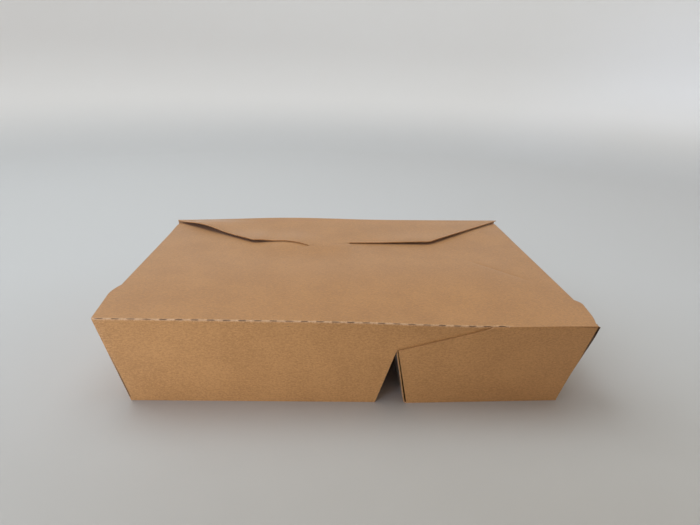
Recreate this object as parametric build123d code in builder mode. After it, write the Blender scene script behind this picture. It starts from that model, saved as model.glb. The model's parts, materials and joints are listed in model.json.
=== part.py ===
"""Kraft takeaway box: one folded and glued sheet of board, with a pleat that makes two compartments.

The box stands on its base with the front wall towards -Y and its length along X. Every panel is
drawn on the middle of its board, and the folds between panels are rounded over.
"""

import os
from math import atan, atan2, cos, degrees, sin, tan

from build123d import *

# Board and outer sizes, in millimetres, measured on the middle of the board
board = 0.5
base_length = 197.0
base_width = 140.0
rim_length = 214.0
rim_width = 157.0
crease_height = 45.0
side_drop = 2.4

# Pleat between the two base panels
left_compartment = 110.8
pleat_mouth = 13.7
pleat_ridge_right_of_foot = 7.7
pleat_ridge_height = 31.0

# Right front panel, which laps over the end of the left one
lap_gap = 0.35
lap_foot_reveal = 0.9
lap_apex_reveal = 0.6
lap_top = 60.0
lap_tab_end = 67.0
lap_tab_depth = 9.0
corner_reveal = 0.35
right_corner_gap = 0.9
glue_bite = 0.04

# Glue flaps and dust flaps of the side walls
glue_flap_width = 16.0
glue_flap_foot = 3.0
glue_flap_taper = 6.0
dust_depth = 45.0
dust_end_gap = 2.5
dust_taper = 14.0
dust_corner = 8.0

# Lid, its ears and its perforated crease
lid_rest_gap = 0.2
lid_slack = 0.35
lid_end_gap = 0.6
lid_rear_corner = 3.0
lid_rear_inset = 1.5
ear_flare = 2.2
left_ear_length = 27.0
left_ear_shoulder = 11.5
right_ear_length = 21.5
right_ear_shoulder = 5.0
perforation_pitch = 6.46
perforation_cut = 3.0
perforation_width = 0.3
perforation_margin = 2.5

# Rear flap and the tongue that locks it
hinge_gap = 0.2
flap_clearance = 0.3
flap_depth = 48.0
flap_shoulder = 52.5
flap_corner = 1.2
tongue_root = -42.0
tongue_left = -20.0
tongue_right = 4.6
tongue_reach = 55.0
tongue_drop = 5.0
tongue_taper = 2.5
slit_clearance = 0.5

# Places that follow from the sizes above
crease_radius = 0.48 * board
base_level = board / 2
front_lean = (rim_width - base_width) / 2 / (crease_height - base_level)
side_lean = (rim_length - base_length) / 2 / (crease_height - base_level)
layer_step = (board - glue_bite) / cos(atan(front_lean))
left_layer = 1 + lap_gap / layer_step
wall_top = crease_height - board / 2 - hinge_gap
side_top = crease_height - side_drop
right_panel_top = crease_height - board / 2 - lid_slack
left_foot = left_compartment - base_length / 2
right_foot = left_foot + pleat_mouth
ridge = left_foot + pleat_ridge_right_of_foot


def wall_x(z):
    """Distance of a side wall from the middle of the box, at height z."""
    return base_length / 2 + side_lean * (z - base_level)


def wall_y(z, layer):
    """Distance of a front or rear layer of board from the middle; layer 0 is outermost."""
    return base_width / 2 + front_lean * (z - base_level) - layer * layer_step


def front(x, z, layer):
    """Point on a layer of the front wall."""
    return Vector(x, -wall_y(z, layer), z)


def middle(x, z):
    """Point on the middle plane of the box, between front and rear."""
    return Vector(x, 0, z)


def add_panel(*corners):
    """Add a flat panel of board centred on the polygon through the corner points."""
    first_edge = corners[1] - corners[0]
    plane = Plane(corners[0], x_dir=first_edge, z_dir=first_edge.cross(corners[2] - corners[0]))
    with BuildSketch(plane) as outline:
        with BuildLine():
            Polyline(*[plane.to_local_coords(corner) for corner in corners], close=True)
        make_face()
    extrude(outline.sketch, amount=board / 2, both=True)


def add_crease(start, end):
    """Round over the fold that runs from start to end."""
    with BuildSketch(Plane(start, z_dir=end - start)) as section:
        Circle(crease_radius)
    extrude(section.sketch, amount=(end - start).length)


# Front half of the folded sheet, up to the middle plane, which is then mirrored to the rear
with BuildPart() as carton:
    # Base panels and the pleat that rises between them
    left_base = (front(-base_length / 2, base_level, left_layer), front(left_foot, base_level, left_layer))
    right_base = (front(right_foot, base_level, 0), front(base_length / 2, base_level, 0))
    pleat_feet = (front(left_foot, base_level, left_layer), front(right_foot, base_level, left_layer))
    ridge_end = front(ridge, pleat_ridge_height, left_layer)
    for start, end in (left_base, right_base, (pleat_feet[0], ridge_end), (pleat_feet[1], ridge_end)):
        add_panel(start, end, middle(end.X, end.Z), middle(start.X, start.Z))
    for end in (*pleat_feet, ridge_end):
        add_crease(end, middle(end.X, end.Z))
    add_crease(*left_base)
    add_crease(*right_base)

    # Left front wall, with the tab at its upper right that lies behind the right panel
    left_edge = board / 2 - corner_reveal
    add_panel(
        front(-wall_x(base_level) - left_edge, base_level, left_layer),
        front(left_foot, base_level, left_layer),
        ridge_end,
        front(lap_tab_end - lap_tab_depth, pleat_ridge_height, left_layer),
        front(lap_tab_end, wall_top - lap_tab_depth, left_layer),
        front(lap_tab_end, wall_top, left_layer),
        front(-wall_x(wall_top) - left_edge, wall_top, left_layer),
    )

    # Right front panel, outermost, whose slanted edge starts at the pleat's ridge
    add_panel(
        front(right_foot + lap_foot_reveal, base_level, 0),
        front(wall_x(base_level) - corner_reveal, base_level, 0),
        front(wall_x(right_panel_top) - right_corner_gap, right_panel_top, 0),
        front(lap_top, right_panel_top, 0),
        front(ridge + lap_apex_reveal, pleat_ridge_height, 0),
    )

    # Side walls, their glue flaps behind the front wall and their dust flaps under the lid
    for side, layer in ((-1, left_layer + 1), (1, left_layer)):
        foot = front(side * wall_x(base_level), base_level, layer)
        top = front(side * wall_x(side_top), side_top, layer)
        add_panel(middle(foot.X, foot.Z), foot, top, middle(top.X, top.Z))
        add_crease(middle(foot.X, foot.Z), foot)
        add_crease(foot, top)

        flap_low = base_level + glue_flap_foot
        flap_high = side_top - glue_flap_foot
        add_panel(
            front(side * wall_x(flap_low), flap_low, layer),
            front(side * wall_x(flap_high), flap_high, layer),
            front(side * (wall_x(flap_high) - glue_flap_width), flap_high - glue_flap_taper, layer),
            front(side * (wall_x(flap_low) - glue_flap_width), flap_low + glue_flap_taper, layer),
        )

        dust_root = -wall_y(side_top, layer) + dust_end_gap
        dust_tip = side * (wall_x(side_top) - dust_depth)
        with BuildSketch(Plane.XY.offset(side_top)):
            with BuildLine():
                FilletPolyline(
                    (top.X, 0),
                    (top.X, dust_root),
                    (dust_tip, dust_root + dust_taper),
                    (dust_tip, 0),
                    radius=[0, 0, dust_corner, 0],
                    close=True,
                )
            make_face()
        extrude(amount=board / 2, both=True)
        add_crease(middle(top.X, top.Z), Vector(top.X, dust_root, top.Z))

    mirror(about=Plane.XZ)

# Plane of the lid, from the front crease down to its rest on the dust flaps at the rear
lid_front = -wall_y(crease_height, left_layer)
lid_fall = side_drop - board - lid_rest_gap
lid_rear = wall_y(crease_height - lid_fall, left_layer) - board / 2 - lid_end_gap
lid_slope = atan2(lid_fall, lid_rear - lid_front)
lid_depth = (lid_rear - lid_front) / cos(lid_slope)
lid_plane = Plane((0, lid_front, crease_height), x_dir=(1, 0, 0), z_dir=(0, sin(lid_slope), cos(lid_slope)))

# Plane of the rear flap, from the rear crease down to the lid that it lies on
hinge = Vector(0, wall_y(crease_height, left_layer), crease_height)
seat_level = crease_height - (hinge.Y - flap_depth - lid_front) * tan(lid_slope) + board + flap_clearance
flap_slope = atan2(crease_height - seat_level, flap_depth)
flap_plane = Plane(hinge, x_dir=(1, 0, 0), z_dir=(0, -sin(flap_slope), cos(flap_slope)))
bend_run = Vector(tongue_right - tongue_left, tongue_reach - flap_depth, 0)
tongue_outline = (
    Vector(tongue_left, -tongue_reach, 0),
    Vector(tongue_right, -flap_depth, 0),
    Vector(tongue_right, -flap_depth, -tongue_drop) - bend_run.normalized() * tongue_taper,
    Vector(tongue_left, -tongue_reach, -tongue_drop) + bend_run.normalized() * tongue_taper,
)
tongue_corners = [flap_plane.from_local_coords(point) for point in tongue_outline]

# Lid panel, folded back from the left front wall over the whole top
with BuildPart() as front_lid:
    corner = wall_x(crease_height)
    free_edge = -left_layer * layer_step - board / 2
    with BuildSketch(lid_plane):
        with BuildLine():
            left_ear = (-corner - ear_flare, left_ear_length)
            right_ear = (corner + ear_flare, right_ear_length)
            sides = FilletPolyline(
                (-corner, left_ear_length + left_ear_shoulder),
                (-corner + lid_rear_inset, lid_depth),
                (corner - lid_rear_inset, lid_depth),
                (corner, right_ear_length + right_ear_shoulder),
                radius=lid_rear_corner,
            )
            Spline(left_ear, sides @ 0, tangents=((0, 1), (2 * ear_flare, left_ear_shoulder)))
            Spline(sides @ 1, right_ear, tangents=((2 * ear_flare, -right_ear_shoulder), (0, -1)))
            Polyline(
                right_ear,
                (corner, free_edge),
                (lap_tab_end, free_edge),
                (lap_tab_end, 0),
                (-corner, 0),
                left_ear,
            )
        make_face()
        # Slit that takes the rear flap's tongue
        slit_middle = (tongue_corners[0] + tongue_corners[1]) * 0.5
        with Locations((slit_middle.X, (slit_middle.Y - lid_front) / cos(lid_slope))):
            Rectangle(
                bend_run.length + 2 * slit_clearance,
                board + 2 * slit_clearance,
                rotation=degrees(atan2(bend_run.Y, bend_run.X)),
                mode=Mode.SUBTRACT,
            )
    extrude(amount=board / 2, both=True)

    # Fold over the wall's top edge, cut through by a row of dashes
    left_end = -wall_x(crease_height) - left_edge
    add_crease(front(left_end, crease_height, left_layer), front(lap_tab_end, crease_height, left_layer))
    add_panel(
        front(-wall_x(wall_top) - left_edge, wall_top, left_layer),
        front(lap_tab_end, wall_top, left_layer),
        front(lap_tab_end, crease_height, left_layer),
        front(left_end, crease_height, left_layer),
    )
    dash_run = lap_tab_end - left_end - 2 * perforation_margin
    dash_count = int(dash_run / perforation_pitch) + 1
    dash_plane = Plane(front((left_end + lap_tab_end) / 2, crease_height, left_layer)).rotated((45, 0, 0))
    with BuildSketch(dash_plane):
        with GridLocations(perforation_pitch, 1, dash_count, 1):
            Rectangle(perforation_cut, perforation_width)
    extrude(amount=2 * board, both=True, mode=Mode.SUBTRACT)

# Rear flap, which turns on the rear crease, and its tongue, bent down through the lid's slit
with BuildPart() as rear_flap:
    flap_end = wall_x(crease_height)
    with BuildSketch(flap_plane):
        with BuildLine():
            left_side = FilletPolyline(
                (-flap_end, 0),
                (-flap_shoulder, -flap_depth),
                (tongue_root, -flap_depth),
                radius=flap_corner,
            )
            right_side = FilletPolyline(
                (tongue_right, -flap_depth),
                (flap_shoulder, -flap_depth),
                (flap_end, 0),
                radius=flap_corner,
            )
            TangentArc(left_side @ 1, (tongue_left, -tongue_reach), tangent=(1, 0))
            Line((tongue_left, -tongue_reach), right_side @ 0)
            Line(right_side @ 1, left_side @ 0)
        make_face()
    extrude(amount=board / 2, both=True)
    add_crease(hinge - Vector(flap_end, 0, 0), hinge + Vector(flap_end, 0, 0))

    # Tongue below its bend
    add_panel(*tongue_corners)
    add_crease(tongue_corners[0], tongue_corners[1])

os.makedirs("parts", exist_ok=True)
carton.part.label = "carton"
front_lid.part.label = "front_lid"
rear_flap.part.label = "rear_flap"
export_step(carton.part, "parts/carton.step")
export_step(front_lid.part, "parts/front_lid.step")
export_step(rear_flap.part, "parts/rear_flap.step")
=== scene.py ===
import json
import math

import bmesh
import bpy
import numpy as np
from mathutils import Matrix, Vector


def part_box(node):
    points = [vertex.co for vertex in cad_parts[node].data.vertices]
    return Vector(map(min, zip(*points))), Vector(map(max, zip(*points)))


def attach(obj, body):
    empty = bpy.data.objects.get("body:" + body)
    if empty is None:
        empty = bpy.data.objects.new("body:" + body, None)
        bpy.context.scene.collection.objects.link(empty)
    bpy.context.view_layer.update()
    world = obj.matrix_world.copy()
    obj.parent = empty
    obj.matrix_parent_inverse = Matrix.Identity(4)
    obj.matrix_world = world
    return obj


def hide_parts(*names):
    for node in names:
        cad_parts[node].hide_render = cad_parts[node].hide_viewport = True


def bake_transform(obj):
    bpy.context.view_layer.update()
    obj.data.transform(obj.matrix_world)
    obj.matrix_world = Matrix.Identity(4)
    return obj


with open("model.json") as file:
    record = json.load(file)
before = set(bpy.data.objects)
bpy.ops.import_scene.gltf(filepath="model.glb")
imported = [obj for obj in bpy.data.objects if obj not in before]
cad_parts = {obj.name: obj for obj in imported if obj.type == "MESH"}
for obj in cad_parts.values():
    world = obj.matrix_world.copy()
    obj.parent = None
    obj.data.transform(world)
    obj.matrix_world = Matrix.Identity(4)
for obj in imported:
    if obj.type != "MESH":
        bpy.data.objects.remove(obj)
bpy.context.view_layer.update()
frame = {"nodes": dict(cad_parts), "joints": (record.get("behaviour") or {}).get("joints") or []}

# Sizes of the box in millimetres, read from the frame where a box or joint gives them
MM = 0.001
hinge = Vector(frame["joints"][0]["pos_m"]) / MM
lid_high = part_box("front_lid")[1] / MM
flap_low, flap_high = (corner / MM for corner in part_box("rear_flap"))
board = 0.5
crease_height = hinge.z
half_rim = flap_high.x
half_width = hinge.y
half_base = 98.5
half_base_width = 70.0
wall_lean = 0.19
pleat_left, pleat_ridge, pleat_right = 12.3, 20.0, 26.0
ridge_height = 31.0
lap_top, lap_end = 60.0, 67.0
dust_depth, dust_level, dust_end_gap = 45.0, 41.5, 4.0
flap_depth = 48.0
shoulder_x, shoulder_y = 52.5, hinge.y - flap_depth
tongue_root, tongue_left, tongue_right = -42.0, -20.0, 4.6
bend_left, bend_right = flap_low.y + board / 2, hinge.y - flap_depth
slit_clearance = 0.5
dash_pitch, dash_cut = 6.46, 3.0
dash_middle = (lap_end - half_rim) / 2

# Twist and bow of the whole box, in millimetres
front_twist = 0.9
rear_twist_left, rear_twist_right = 1.9, 1.3
twist_top = 1.05
rear_bow, rear_bow_x, rear_bow_spread, rear_bow_power = 1.5, -35.0, 42.0, 1.5
root_rise, root_x, root_y, root_spread = 1.3, -31.0, 28.0, 16.0
bulge_x, bulge_spread, bulge_start = 52.0, 38.0, 10.0
bulge_out, bulge_fall = 1.2, 0.65
corner_draw = 2.0

# Lid: belly, lip over the tongue, rear corners, front right tip and one faint dent
belly_rise = 0.6
lip_rise, lip_reach, lip_fullness = 0.95, 16.0, 0.3
left_dip, left_dip_x, right_dip, right_dip_x = 0.3, -83.0, -0.5, 84.0
dip_y, dip_spread = 60.0, 20.0
tip_draw, tip_reach = 1.2, 5.0
dent_start, dent_end = Vector((69.5, 0.4, 0)), Vector((93.0, -27.5, 0))
dent_depth, dent_width = 0.12, 1.0
dent_begins, dent_ends = (-0.1, 0.2), (1.1, 0.8)
dent_run = dent_end - dent_start
dent_side = Vector((dent_run.y, -dent_run.x, 0)).normalized()

# Rear flap: edges that stand off the lid, and the zone that bends at the crease
left_lift, left_lift_x, left_lift_y, left_lift_spread = 2.1, -86.0, 59.0, 18.0
right_lift, right_lift_x, right_lift_y, right_lift_spread = 0.6, 76.0, 50.0, 24.0
left_shoulder_lift, right_shoulder_lift, shoulder_reach = 1.3, 1.1, 16.0
lens_start, lens_end = tongue_root + 3, tongue_root - 9
crease_hold = 10.0

# Carton: lapped panel, dust flaps, sprung right corner and bowed pleat
lap_rise, lap_proud, lap_edge, lap_margin = 0.33, 0.3, 0.8, 1.0
lap_fade_start, lap_fade_end = 95.0, 104.0
dust_droop, dust_fold = 4.0, 0.8
panel_reach = 1.2
corner_flare, corner_rise, corner_reach, corner_foot = 1.3, 1.3, 9.0, 20.0
corner_gap, corner_rise_start, corner_rise_end = 0.35, 37.0, 42.0
pleat_bow, bow_width_power, bow_height_power = 1.6, 3, 4

# Rubbed folds: strength of each kind and width
crease_wear, rear_wear, base_wear, corner_wear, rim_wear = 0.9, 0.5, 0.45, 0.45, 0.4
wear_width, rim_drop = 0.7, 2.0

# Painted shade along the open seams at the front corners: two ends, width, share over which it opens, and
# depth of the painted shade
right_seam_painted_shade = ((102.9, -74.0, 24.5), (106.6, -77.75, 44.3), 1.0, 0.4, 0.9)
left_seam_painted_shade = ((-103.5, -74.9, 29.0), (-98.5, -69.9, 2.5), 0.42, 0.5, 0.75)
seam_shade = (0.045, 0.020, 0.009, 1)

# Painted shade on the cuts of the lid's crease: its colour, its depth, width of the row, and how closed a cut
# may be
cut_shade = (0.105, 0.043, 0.013, 1)
cut_shade_depth, cut_width = 0.36, 0.62
cut_closed, cut_variety = 0.45, 45

# Paper: counts per metre of its clouds, mottle, fibres and specks, and how far each moves the tone
cloud_scale, cloud_share = 60, 0.2
mottle_scale, mottle_share = 1300, 0.45
fine_fibre_scale, fine_fibre_turn, fine_fibre_share = (650, 2300, 2300), 0.15, 0.42
cross_fibre_scale, cross_fibre_turn, cross_fibre_share = (900, 2000, 2000), 0.85, 0.36
speck_scale, speck_core, speck_rim, speck_rarity, speck_depth = 105, 0.022, 0.045, 0.62, 0.55
speck_brown = (0.10, 0.055, 0.028, 1)
wear_start, wear_mottle = 0.25, 0.3
gloss_mottle = 0.06
sheen, sheen_roughness = 0.40, 0.35
fibre_relief, mottle_relief, paper_bump, paper_depth = 0.5, 1.2, 0.2, 0.12

# Floor and backdrop, in metres
floor_radius, floor_bend, wall_height = 0.62, 0.16, 0.5
floor_sides, floor_bend_steps = 96, 12
# Painted shade: the floor near the box, around shade_middle, is darker, and lightens between shade_start and
# shade_end
floor_near_painted_shade = ((0.458, 0.432, 0.405, 1), (0.478, 0.452, 0.425, 1))
floor_far = (0.600, 0.600, 0.61, 1)
wall_grey = (0.835, 0.815, 0.81, 1)
shade_middle, shade_start, shade_end = Vector((0.0, -0.22, 0.0)), 0.08, 0.40
floor_grain, climb_height = 30, 0.08
floor_roughness, floor_specular = 0.85, 0.2

# Camera: focal length in pixels of a picture of this width, place in metres and three turns
image_width = 700
focal_pixels = 575.0
sensor_width = 36.0
camera_place = Vector((-15.7, -295.5, 151.5)) * MM
camera_yaw, camera_pitch, camera_roll = (math.radians(a) for a in (-3.65, 20.09, 1.95))


def ramp(low, high, value):
    """Smooth step from 0 at low to 1 at high."""
    t = np.clip((value - low) / (high - low), 0, 1)
    return t * t * (3 - 2 * t)


def hump(value, middle, spread):
    """Bell curve, 1 at the middle."""
    return np.exp(-(((value - middle) / spread) ** 2))


def settle(co):
    """The whole box's twist and bow; the base stays flat."""
    x, y, z = co.T
    height = np.clip(z / crease_height, 0, twist_top)
    rear = np.clip((y + half_width) / (2 * half_width), 0, 1)
    across = x / half_rim
    bulge = hump(x, bulge_x, bulge_spread) * ramp(bulge_start, half_width, -y)
    rear_twist = np.where(x < 0, rear_twist_left, rear_twist_right)
    rise = across * (rear_twist * rear - front_twist * (1 - rear))
    bow = rear_bow * hump(x, rear_bow_x, rear_bow_spread)
    rise += bow * np.clip(y / half_width, 0, 1) ** rear_bow_power
    rise += root_rise * hump(x, root_x, root_spread) * hump(y, root_y, root_spread)
    rise -= bulge_fall * bulge
    drawn = np.interp(x, (-half_base, pleat_left, pleat_right, half_base), (1, 0, 0, 1))
    drawn *= np.clip(-y / half_base_width, 0, 1) * (1 - np.clip(height, 0, 1))
    y = y - bulge_out * bulge * height + corner_draw * drawn
    return np.column_stack((x, y, z + rise * height))


def lid_relief(co):
    """Belly, lip over the tongue, uneven rear corners, drawn tip and one faint dent of the lid."""
    x, y, z = co.T
    belly = np.sin(np.pi * np.clip((y + half_width) / (bend_left + half_width), 0, 1)) ** 2
    rise = belly_rise * belly * (1 - (x / lid_high.x) ** 2)
    middle = (tongue_left + tongue_right) / 2
    half = (tongue_right - tongue_left) / 2 + slit_clearance
    along = np.clip(1 - ((x - middle) / half) ** 2, 0, 1)
    beyond = y - np.interp(x, (tongue_left, tongue_right), (bend_left, bend_right))
    rise += lip_rise * along ** lip_fullness * hump(beyond, 0, lip_reach) * (beyond < 0)
    rise -= left_dip * hump(x, left_dip_x, dip_spread) * hump(y, dip_y, dip_spread)
    rise -= right_dip * hump(x, right_dip_x, dip_spread) * hump(y, dip_y, dip_spread)
    offset = np.column_stack((x - dent_start.x, y - dent_start.y))
    share = offset @ np.array(dent_run.xy) / dent_run.length_squared
    ends = ramp(*dent_begins, share) * ramp(*dent_ends, share)
    rise -= dent_depth * hump(offset @ np.array(dent_side.xy), 0, dent_width) * ends
    x = x - tip_draw * hump(x, half_rim, tip_reach) * hump(y, -half_width, tip_reach)
    return np.column_stack((x, y, z + rise))


def flap_relief(co):
    """Free edges of the rear flap, which stand a little off the lid."""
    x, y, z = co.T
    rise = left_lift * hump(x, left_lift_x, left_lift_spread) * hump(y, left_lift_y, left_lift_spread)
    rise += right_lift * hump(x, right_lift_x, right_lift_spread) * hump(y, right_lift_y, right_lift_spread)
    edge = hump(y, shoulder_y, shoulder_reach)
    rise += left_shoulder_lift * ramp(lens_start, lens_end, x) * edge
    rise += right_shoulder_lift * ramp(tongue_right, shoulder_x, x) * edge
    rise *= ramp(0, crease_hold, half_width - y)
    return np.column_stack((x, y, z + rise))


def carton_relief(co):
    """Lapped panel pressed up to the lid, sprung side wall behind it, drooping dust flaps, bowed pleat."""
    x, y, z = co.T
    lapped = (y < -half_width - lap_proud) & (z > crease_height - lap_edge) & (x > lap_top - lap_margin)
    rise = lap_rise * lapped * (1 - ramp(lap_fade_start, lap_fade_end, x))
    dust = (z > dust_level) & (abs(y) < half_width - dust_end_gap)
    rise -= dust_droop * dust * np.clip((half_rim - dust_fold - abs(x)) / dust_depth, 0, 1)
    wall = half_base + (half_rim - half_base) * z / crease_height
    behind = half_width - wall_lean * (crease_height - z)
    side = (x > wall - panel_reach) * (y > -behind - corner_gap) * (y < 0)
    sprung = side * hump(y, -behind, corner_reach)
    x = x + corner_flare * sprung * np.clip((z - corner_foot) / (crease_height - corner_foot), 0, 1)
    rise += corner_rise * sprung * ramp(corner_rise_start, corner_rise_end, z)
    face = pleat_right - (pleat_right - pleat_ridge) * z / ridge_height
    bowed = (abs(x - face) < panel_reach) * (1 - np.clip(abs(y) / half_base_width, 0, 1) ** bow_width_power)
    bowed = bowed * np.clip(1 - abs(2 * z / ridge_height - 1) ** bow_height_power, 0, 1)
    x = x + pleat_bow * bowed
    return np.column_stack((x, y, z + rise))


def crease_ends():
    """The two ends of the perforated crease that the lid folds on."""
    return (-half_rim, -half_width, crease_height), (lap_end, -half_width, crease_height)


def wear_lines():
    """Folds where the board is rubbed: two ends and strength."""
    rear_left = (-half_rim, half_width, crease_height)
    rear_right = (half_rim, half_width, crease_height)
    lines = [(*crease_ends(), crease_wear), (rear_left, rear_right, rear_wear)]
    rim_level = crease_height - rim_drop
    for side in (-1, 1):
        rim, base = side * half_rim, side * half_base
        lines.append(((base, -half_base_width, 0), (base, half_base_width, 0), base_wear))
        lines.append(((rim, -half_width, rim_level), (rim, half_width, rim_level), rim_wear))
        for end in (-1, 1):
            foot = (base, end * half_base_width, 0)
            lines.append((foot, (rim, end * half_width, crease_height), corner_wear))
    for end in (-1, 1):
        foot = end * half_base_width
        lines.append(((-half_base, foot, 0), (half_base, foot, 0), base_wear))
    return lines


def wear_at(co):
    """How rubbed the board is at each point, from 0 to 1."""
    worn = np.zeros(len(co))
    for start, end, strength in wear_lines():
        start, end = np.array(start, float), np.array(end, float)
        run = end - start
        along = np.clip((co - start) @ run / (run @ run), 0, 1)
        distance = np.linalg.norm(co - start - along[:, None] * run, axis=1)
        worn = np.maximum(worn, strength * hump(distance, 0, wear_width))
    return worn


def mark_cut_edges(mesh):
    """Give the faces one board thick, where the sheet was cut, the second material."""
    same_side = math.radians(40)
    narrow = 0.8 * board
    todo = set(mesh.faces)
    while todo:
        region = [todo.pop()]
        for face in region:
            for edge in face.edges:
                if len(edge.link_faces) == 2 and edge.calc_face_angle(math.pi) < same_side:
                    for other in edge.link_faces:
                        if other in todo:
                            todo.discard(other)
                            region.append(other)
        inside = set(region)
        area = sum(face.calc_area() for face in region)
        border = 0.0
        for face in region:
            for edge in face.edges:
                if any(other not in inside for other in edge.link_faces):
                    border += edge.calc_length()
        if border > 0 and 2 * area / border < narrow:
            for face in region:
                face.material_index = 1


def mark_inner_side(mesh, name):
    """Give the side of the board that faces the food the third material."""
    dust_zone = crease_height - 4
    pleat_zone = 60
    downward, tilted, level = -0.5, 0.6, 0.8
    for face in mesh.faces:
        if face.material_index == 1:
            continue
        n, c = face.normal, face.calc_center_median()
        if name != "carton" or c.z > dust_zone and abs(n.z) > tilted:
            inner = n.z < downward
        elif abs(n.z) > level:
            inner = n.z > 0
        elif abs(c.x) < pleat_zone and abs(n.x) > abs(n.y):
            inner = (c.x - pleat_ridge) * n.x > 0
        elif abs(n.y) > abs(n.x):
            inner = n.y * c.y < 0
        else:
            inner = n.x * c.x < 0
        if inner:
            face.material_index = 2


def cut_planes(name):
    """Planes that divide a piece finely enough to bend, closest beside its folds: normal and distance."""
    spacing = 12.0 if name == "carton" else 6.0
    end_margin = 0.1
    fold_offsets = (0.5, 1.1, 2.2)
    fold_level = crease_height - 0.4
    lip_start, lip_end, lip_step = bend_left - 9, bend_right + 2, 1.5
    slit_step = 1.6
    edge_start, edge_step = shoulder_y - 6, 3.0
    corner_start, corner_end, corner_step = -shoulder_x - 6, tongue_root + 4, 1.5
    dent_shares = (-2, -1.2, -0.6, 0, 0.6, 1.2, 2)
    unit_axes = Matrix.Identity(3)

    planes = []
    for axis, low, high in ((0, -108.0, 108.0), (1, -78.0, 78.0), (2, 6.0, 42.0)):
        if name == "carton" or axis != 2:
            planes += [(axis, value) for value in np.arange(low, high + end_margin, spacing)]
    for offset in fold_offsets:
        planes += [(1, side * (half_width - offset)) for side in (-1, 1)]
        if name == "carton":
            planes.append((2, offset))
            planes += [(1, side * (half_base_width - offset)) for side in (-1, 1)]
            planes += [(0, side * (half_base - offset)) for side in (-1, 1)]
            planes.append((2, fold_level - offset))
    if name == "front_lid":
        planes += [(1, y) for y in np.arange(lip_start, lip_end, lip_step)]
        planes += [(0, x) for x in np.arange(tongue_left, tongue_right + end_margin, slit_step)]
    if name == "rear_flap":
        planes += [(1, y) for y in np.arange(edge_start, half_width, edge_step)]
        planes += [(0, x) for x in np.arange(corner_start, corner_end, corner_step)]
    planes = [(Vector(unit_axes[axis]), value) for axis, value in planes]
    if name == "front_lid":
        middle = dent_side.dot(dent_start)
        planes += [(dent_side, middle + share * dent_width) for share in dent_shares]
    return planes


def divided_sheet(node):
    """A node's sheet in millimetres, its cut edges and inner side marked, divided finely enough to bend."""
    same_point, same_plane, on_plane, sliver = 0.002, math.radians(0.2), 0.001, 0.0002
    mesh = bmesh.new()
    mesh.from_mesh(frame["nodes"][node].data)
    bmesh.ops.scale(mesh, vec=(1 / MM,) * 3, verts=mesh.verts)
    bmesh.ops.remove_doubles(mesh, verts=mesh.verts, dist=same_point)
    bmesh.ops.dissolve_limit(mesh, angle_limit=same_plane, verts=mesh.verts, edges=mesh.edges)
    mesh.normal_update()
    for face in mesh.faces:
        face.material_index = 0
        face.smooth = True
    mark_cut_edges(mesh)
    mark_inner_side(mesh, node)
    for normal, distance in cut_planes(node):
        everything = mesh.verts[:] + mesh.edges[:] + mesh.faces[:]
        spot = normal * distance
        bmesh.ops.bisect_plane(mesh, geom=everything, dist=on_plane, plane_co=spot, plane_no=normal)
    bmesh.ops.triangulate(mesh, faces=mesh.faces)
    bmesh.ops.dissolve_degenerate(mesh, dist=sliver, edges=mesh.edges)
    bmesh.ops.triangulate(mesh, faces=mesh.faces)
    return mesh


def make_piece(node, piece_name, relief, materials):
    """A bent copy of a node's sheet, with its flat place and its wear stored on its points."""
    sharp_fold = math.radians(32)
    mesh = divided_sheet(node)
    data = bpy.data.meshes.new(piece_name)
    mesh.to_mesh(data)
    mesh.free()
    imported_normals = data.attributes.get("custom_normal")
    if imported_normals:
        data.attributes.remove(imported_normals)
    rest = np.empty(len(data.vertices) * 3)
    data.vertices.foreach_get("co", rest)
    rest = rest.reshape(-1, 3)
    place = data.attributes.new("rest", "FLOAT_VECTOR", "POINT")
    place.data.foreach_set("vector", (rest * MM).ravel())
    worn = data.attributes.new("wear", "FLOAT", "POINT")
    worn.data.foreach_set("value", wear_at(rest))
    data.vertices.foreach_set("co", (settle(relief(rest)) * MM).ravel())
    data.set_sharp_from_angle(angle=sharp_fold)
    data.update()
    piece = bpy.data.objects.new(piece_name, data)
    bpy.context.scene.collection.objects.link(piece)
    for material in materials:
        data.materials.append(material)
    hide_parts(node)
    return piece


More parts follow.
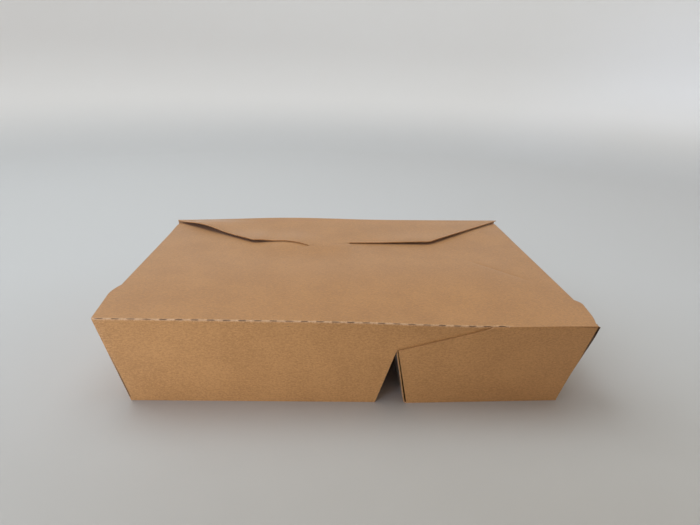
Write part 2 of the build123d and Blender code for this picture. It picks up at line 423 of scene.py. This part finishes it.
class Net:
    """Short forms for building a node material."""

    def __init__(self, name):
        self.material = bpy.data.materials.new(name)
        self.material.use_nodes = True
        self.nodes = self.material.node_tree.nodes
        self.links = self.material.node_tree.links
        self.shader = self.nodes["Principled BSDF"]

    def put(self, socket, value):
        if isinstance(value, bpy.types.NodeSocket):
            self.links.new(value, socket)
        else:
            socket.default_value = value

    def attribute(self, name, output):
        node = self.nodes.new("ShaderNodeAttribute")
        node.attribute_name = name
        return node.outputs[output]

    def math(self, operation, *values):
        node = self.nodes.new("ShaderNodeMath")
        node.operation = operation
        for socket, value in zip(node.inputs, values):
            self.put(socket, value)
        return node.outputs[0]

    def vector(self, operation, first, second):
        node = self.nodes.new("ShaderNodeVectorMath")
        node.operation = operation
        self.put(node.inputs[0], first)
        self.put(node.inputs[1], second)
        return node.outputs["Value" if operation in ("DOT_PRODUCT", "DISTANCE") else "Vector"]

    def part(self, vector, axis):
        node = self.nodes.new("ShaderNodeSeparateXYZ")
        self.put(node.inputs[0], vector)
        return node.outputs[axis]

    def scaled(self, vector, factors, turn):
        node = self.nodes.new("ShaderNodeMapping")
        self.put(node.inputs["Vector"], vector)
        node.inputs["Scale"].default_value = factors
        node.inputs["Rotation"].default_value = (turn, turn, turn)
        return node.outputs[0]

    def noise(self, vector, scale, detail, roughness=0.5):
        node = self.nodes.new("ShaderNodeTexNoise")
        self.put(node.inputs["Vector"], vector)
        node.inputs["Scale"].default_value = scale
        node.inputs["Detail"].default_value = detail
        node.inputs["Roughness"].default_value = roughness
        return node.outputs["Fac"]

    def span(self, value, low, high, to_low, to_high, smooth=False):
        node = self.nodes.new("ShaderNodeMapRange")
        node.interpolation_type = "SMOOTHSTEP" if smooth else "LINEAR"
        self.put(node.inputs["Value"], value)
        node.inputs["From Min"].default_value = low
        node.inputs["From Max"].default_value = high
        node.inputs["To Min"].default_value = to_low
        node.inputs["To Max"].default_value = to_high
        return node.outputs[0]

    def swing(self, noise, amount, middle=0.0):
        """A noise spread to an amount either side of the middle."""
        return self.span(noise, 0.3, 0.7, middle - amount, middle + amount)

    def mix(self, factor, first, second):
        node = self.nodes.new("ShaderNodeMix")
        node.data_type = "RGBA"
        self.put(node.inputs["Factor"], factor)
        self.put(node.inputs[6], first)
        self.put(node.inputs[7], second)
        return node.outputs[2]

    def near_line(self, place, start, end, width, fade):
        """1 on a straight line of the board and 0 a width away; it grows to full over its first share."""
        full_share = 0.4
        start, run = Vector(start) * MM, (Vector(end) - Vector(start)) * MM
        offset = self.vector("SUBTRACT", place, start)
        along = self.math("DIVIDE", self.vector("DOT_PRODUCT", offset, run), run.length_squared)
        along = self.math("MINIMUM", self.math("MAXIMUM", along, 0.0), 1.0)
        node = self.nodes.new("ShaderNodeVectorMath")
        node.operation = "SCALE"
        node.inputs[0].default_value = run
        self.put(node.inputs["Scale"], along)
        gap = self.vector("DISTANCE", offset, node.outputs[0])
        close = self.span(gap, full_share * width * MM, width * MM, 1.0, 0.0, True)
        return self.math("MULTIPLY", close, self.span(along, 0.0, fade, 0.0, 1.0))

    def crease_cut_shade(self, place):
        """1 on the row of cuts along the lid's crease where shade is painted, some of them more closed than
        others.
        """
        inside_end, outside_end, line_start = 0.04, 0.03, 0.01
        from_middle = self.math("SUBTRACT", self.part(place, 0), dash_middle * MM)
        count = self.math("DIVIDE", from_middle, dash_pitch * MM)
        phase = self.math("SUBTRACT", self.math("FRACT", self.math("ADD", count, 0.5)), 0.5)
        half_cut = dash_cut / dash_pitch / 2
        from_cut = self.math("ABSOLUTE", phase)
        cut = self.span(from_cut, half_cut - inside_end, half_cut + outside_end, 1.0, 0.0, True)
        line = self.near_line(place, *crease_ends(), cut_width, line_start)
        open_share = self.span(self.noise(place, cut_variety, 1.0), 0.38, 0.62, cut_closed, 1.0)
        return self.math("MULTIPLY", self.math("MULTIPLY", cut, line), open_share)


def kraft(name, light, dark, pale, roughness, specular, wear_share):
    """Uncoated kraft board: cloudy brown, short crossing fibres, a few specks, pale where it is rubbed;
    painted shade in seams and cuts.
    """
    net = Net(name)
    place = net.attribute("rest", "Vector")

    # Clouds about 16 mm across, mottle under 1 mm, and two sets of crossing fibres
    cloud = net.noise(place, cloud_scale, 3.0, 0.55)
    mottle = net.noise(place, mottle_scale, 3.0, 0.7)
    fine_fibre = net.noise(net.scaled(place, fine_fibre_scale, fine_fibre_turn), 1.0, 3.0, 0.65)
    cross_fibre = net.noise(net.scaled(place, cross_fibre_scale, cross_fibre_turn), 1.0, 3.0, 0.65)
    tone = net.math("ADD", net.swing(cloud, cloud_share), net.swing(mottle, mottle_share))
    fine_tone, cross_tone = net.swing(fine_fibre, fine_fibre_share), net.swing(cross_fibre, cross_fibre_share)
    tone = net.math("ADD", net.math("ADD", tone, net.math("ADD", fine_tone, cross_tone)), 0.5)
    colour = net.mix(net.math("MINIMUM", net.math("MAXIMUM", tone, 0.0), 1.0), dark, light)

    # Specks in some of the cells, which are about 10 mm across
    cells = net.nodes.new("ShaderNodeTexVoronoi")
    cells.inputs["Scale"].default_value = speck_scale
    net.put(cells.inputs["Vector"], place)
    near = net.span(cells.outputs["Distance"], speck_core, speck_rim, 1.0, 0.0, True)
    chosen = net.math("GREATER_THAN", cells.outputs["Color"], speck_rarity)
    speck = net.math("MULTIPLY", net.math("MULTIPLY", near, chosen), speck_depth)
    colour = net.mix(speck, colour, speck_brown)

    # Rubbed folds, and painted shade along the open corner seams and on the cuts of the crease
    rubbed = net.math("ADD", net.attribute("wear", "Fac"), net.swing(mottle, wear_mottle))
    rubbed = net.span(rubbed, wear_start, 1.0, 0.0, wear_share, True)
    colour = net.mix(rubbed, colour, pale)
    for start, end, width, fade, strength in (right_seam_painted_shade, left_seam_painted_shade):
        line = net.near_line(place, start, end, width, fade)
        colour = net.mix(net.math("MULTIPLY", line, strength), colour, seam_shade)
    colour = net.mix(net.math("MULTIPLY", net.crease_cut_shade(place), cut_shade_depth), colour, cut_shade)
    net.put(net.shader.inputs["Base Color"], colour)

    # Dull gloss and the relief of the paper
    net.put(net.shader.inputs["Roughness"], net.swing(mottle, gloss_mottle, roughness))
    net.shader.inputs["Specular IOR Level"].default_value = specular
    net.shader.inputs["Sheen Weight"].default_value = sheen
    net.shader.inputs["Sheen Roughness"].default_value = sheen_roughness
    fibre_height = net.math("MULTIPLY", fine_fibre, fibre_relief)
    mottle_height = net.math("MULTIPLY", mottle, mottle_relief)
    bump = net.nodes.new("ShaderNodeBump")
    bump.inputs["Strength"].default_value = paper_bump
    bump.inputs["Distance"].default_value = paper_depth * MM
    net.put(bump.inputs["Height"], net.math("ADD", fibre_height, mottle_height))
    net.put(net.shader.inputs["Normal"], bump.outputs[0])
    return net.material


face_board = kraft(
    "kraft_face",
    light=(0.50, 0.236, 0.075, 1),
    dark=(0.362, 0.162, 0.046, 1),
    pale=(0.70, 0.41, 0.20, 1),
    roughness=0.5,
    specular=0.55,
    wear_share=0.8,
)
edge_board = kraft(
    "kraft_cut_edge",
    light=(0.58, 0.35, 0.20, 1),
    dark=(0.44, 0.24, 0.12, 1),
    pale=(0.60, 0.38, 0.23, 1),
    roughness=0.75,
    specular=0.3,
    wear_share=0.5,
)
inner_board = kraft(
    "kraft_inner",
    light=(0.49, 0.242, 0.094, 1),
    dark=(0.37, 0.173, 0.060, 1),
    pale=(0.57, 0.34, 0.18, 1),
    roughness=0.42,
    specular=0.5,
    wear_share=0.4,
)
board_materials = (face_board, edge_board, inner_board)

box_piece = make_piece("carton", "kraft_carton", carton_relief, board_materials)
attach(box_piece, "box")
lid_piece = make_piece("front_lid", "kraft_lid", lid_relief, board_materials)
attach(lid_piece, "box")
flap_piece = make_piece("rear_flap", "kraft_rear_flap", flap_relief, board_materials)
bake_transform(flap_piece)


def stage_mesh():
    """Round floor that turns up into a backdrop."""
    profile = [(floor_radius, 0.0)]
    for step in range(1, floor_bend_steps + 1):
        turn = step / floor_bend_steps * math.pi / 2
        profile.append((floor_radius + floor_bend * math.sin(turn), floor_bend * (1 - math.cos(turn))))
    profile.append((floor_radius + floor_bend, wall_height))
    points, faces = [(0.0, 0.0, 0.0)], []
    for radius, height in profile:
        for side in range(floor_sides):
            turn = 2 * math.pi * side / floor_sides
            points.append((radius * math.cos(turn), radius * math.sin(turn), height))
    for side in range(floor_sides):
        faces.append((0, 1 + side, 1 + (side + 1) % floor_sides))
    for ring in range(len(profile) - 1):
        low, high = 1 + ring * floor_sides, 1 + (ring + 1) * floor_sides
        for side in range(floor_sides):
            after = (side + 1) % floor_sides
            faces.append((low + side, high + side, high + after, low + after))
    data = bpy.data.meshes.new("floor")
    data.from_pydata(points, [], faces)
    data.polygons.foreach_set("use_smooth", [True] * len(data.polygons))
    return data


def stage_material():
    """Pale paper, with painted shade a little darker in front of the box, and lightest on the wall."""
    net = Net("pale_floor")
    place = net.nodes.new("ShaderNodeNewGeometry").outputs["Position"]
    # Painted shade: darker floor near the box, lighter further from shade_middle
    near = net.mix(net.noise(place, floor_grain, 3.0, 0.5), *floor_near_painted_shade)
    away = net.vector("DISTANCE", place, shade_middle)
    ground = net.mix(net.span(away, shade_start, shade_end, 0.0, 1.0, True), near, floor_far)
    climb = net.span(net.part(place, 2), 0.0, climb_height, 0.0, 1.0, True)
    net.put(net.shader.inputs["Base Color"], net.mix(climb, ground, wall_grey))
    net.shader.inputs["Roughness"].default_value = floor_roughness
    net.shader.inputs["Specular IOR Level"].default_value = floor_specular
    return net.material


def make_stage():
    """The pale floor that the box stands on."""
    data = stage_mesh()
    data.materials.append(stage_material())
    floor = bpy.data.objects.new("floor", data)
    bpy.context.scene.collection.objects.link(floor)


def make_lamp(name, place, target, size, watts, colour, height=None, spread=180):
    """A soft lamp that points at its target: round, or a strip where it has a height."""
    data = bpy.data.lights.new(name, "AREA")
    data.shape = "RECTANGLE" if height else "DISK"
    data.size = size
    if height:
        data.size_y = height
    data.spread = math.radians(spread)
    data.energy = watts
    data.color = colour
    lamp = bpy.data.objects.new(name, data)
    lamp.location = place
    lamp.rotation_euler = (Vector(target) - Vector(place)).to_track_quat("-Z", "Y").to_euler()
    lamp.visible_camera = False
    bpy.context.scene.collection.objects.link(lamp)


def make_lights():
    """Two large lamps above, a low strip and a weak fill from the front left, and a warm room."""
    box_middle = (0, 0, 0.02)
    daylight = (0.80, 0.927, 1.0)
    make_lamp("key", (-0.55, 0.2, 0.95), box_middle, size=1.0, watts=5.32, colour=daylight)
    make_lamp("top", (0.0, 0.0, 1.05), box_middle, size=1.0, watts=4.54, colour=daylight)
    make_lamp(
        "side",
        (-0.40, -0.33, 0.030),
        (-0.09, -0.06, 0.028),
        size=0.2,
        watts=0.078,
        colour=(0.61, 0.75, 1.0),
        height=0.035,
        spread=28,
    )
    make_lamp(
        "front",
        (-0.35, -0.55, 0.26),
        (-0.11, -0.12, 0.0),
        size=0.3,
        watts=0.042,
        colour=(0.60, 0.75, 1.0),
        spread=40,
    )
    world = bpy.data.worlds.new("soft_room")
    world.use_nodes = True
    background = world.node_tree.nodes["Background"]
    background.inputs["Color"].default_value = (1.0, 0.74, 0.48, 1)
    background.inputs["Strength"].default_value = 0.31
    bpy.context.scene.world = world


def make_camera():
    """The view of the box's front: yaw about the upright, pitch down, roll about the line of sight."""
    data = bpy.data.cameras.new("camera")
    data.sensor_width = sensor_width
    data.lens = focal_pixels / image_width * data.sensor_width
    camera = bpy.data.objects.new("camera", data)
    right = Vector((math.cos(camera_yaw), math.sin(camera_yaw), 0))
    ahead = Vector((
        -math.sin(camera_yaw) * math.cos(camera_pitch),
        math.cos(camera_yaw) * math.cos(camera_pitch),
        -math.sin(camera_pitch),
    ))
    up = right.cross(ahead)
    rolled_right = right * math.cos(camera_roll) + up * math.sin(camera_roll)
    rolled_up = -right * math.sin(camera_roll) + up * math.cos(camera_roll)
    axes = Matrix((rolled_right, rolled_up, -ahead)).transposed()
    camera.matrix_world = Matrix.Translation(camera_place) @ axes.to_4x4()
    bpy.context.scene.collection.objects.link(camera)
    bpy.context.scene.camera = camera


make_stage()
make_lights()
make_camera()
bpy.context.scene.view_settings.view_transform = "Standard"
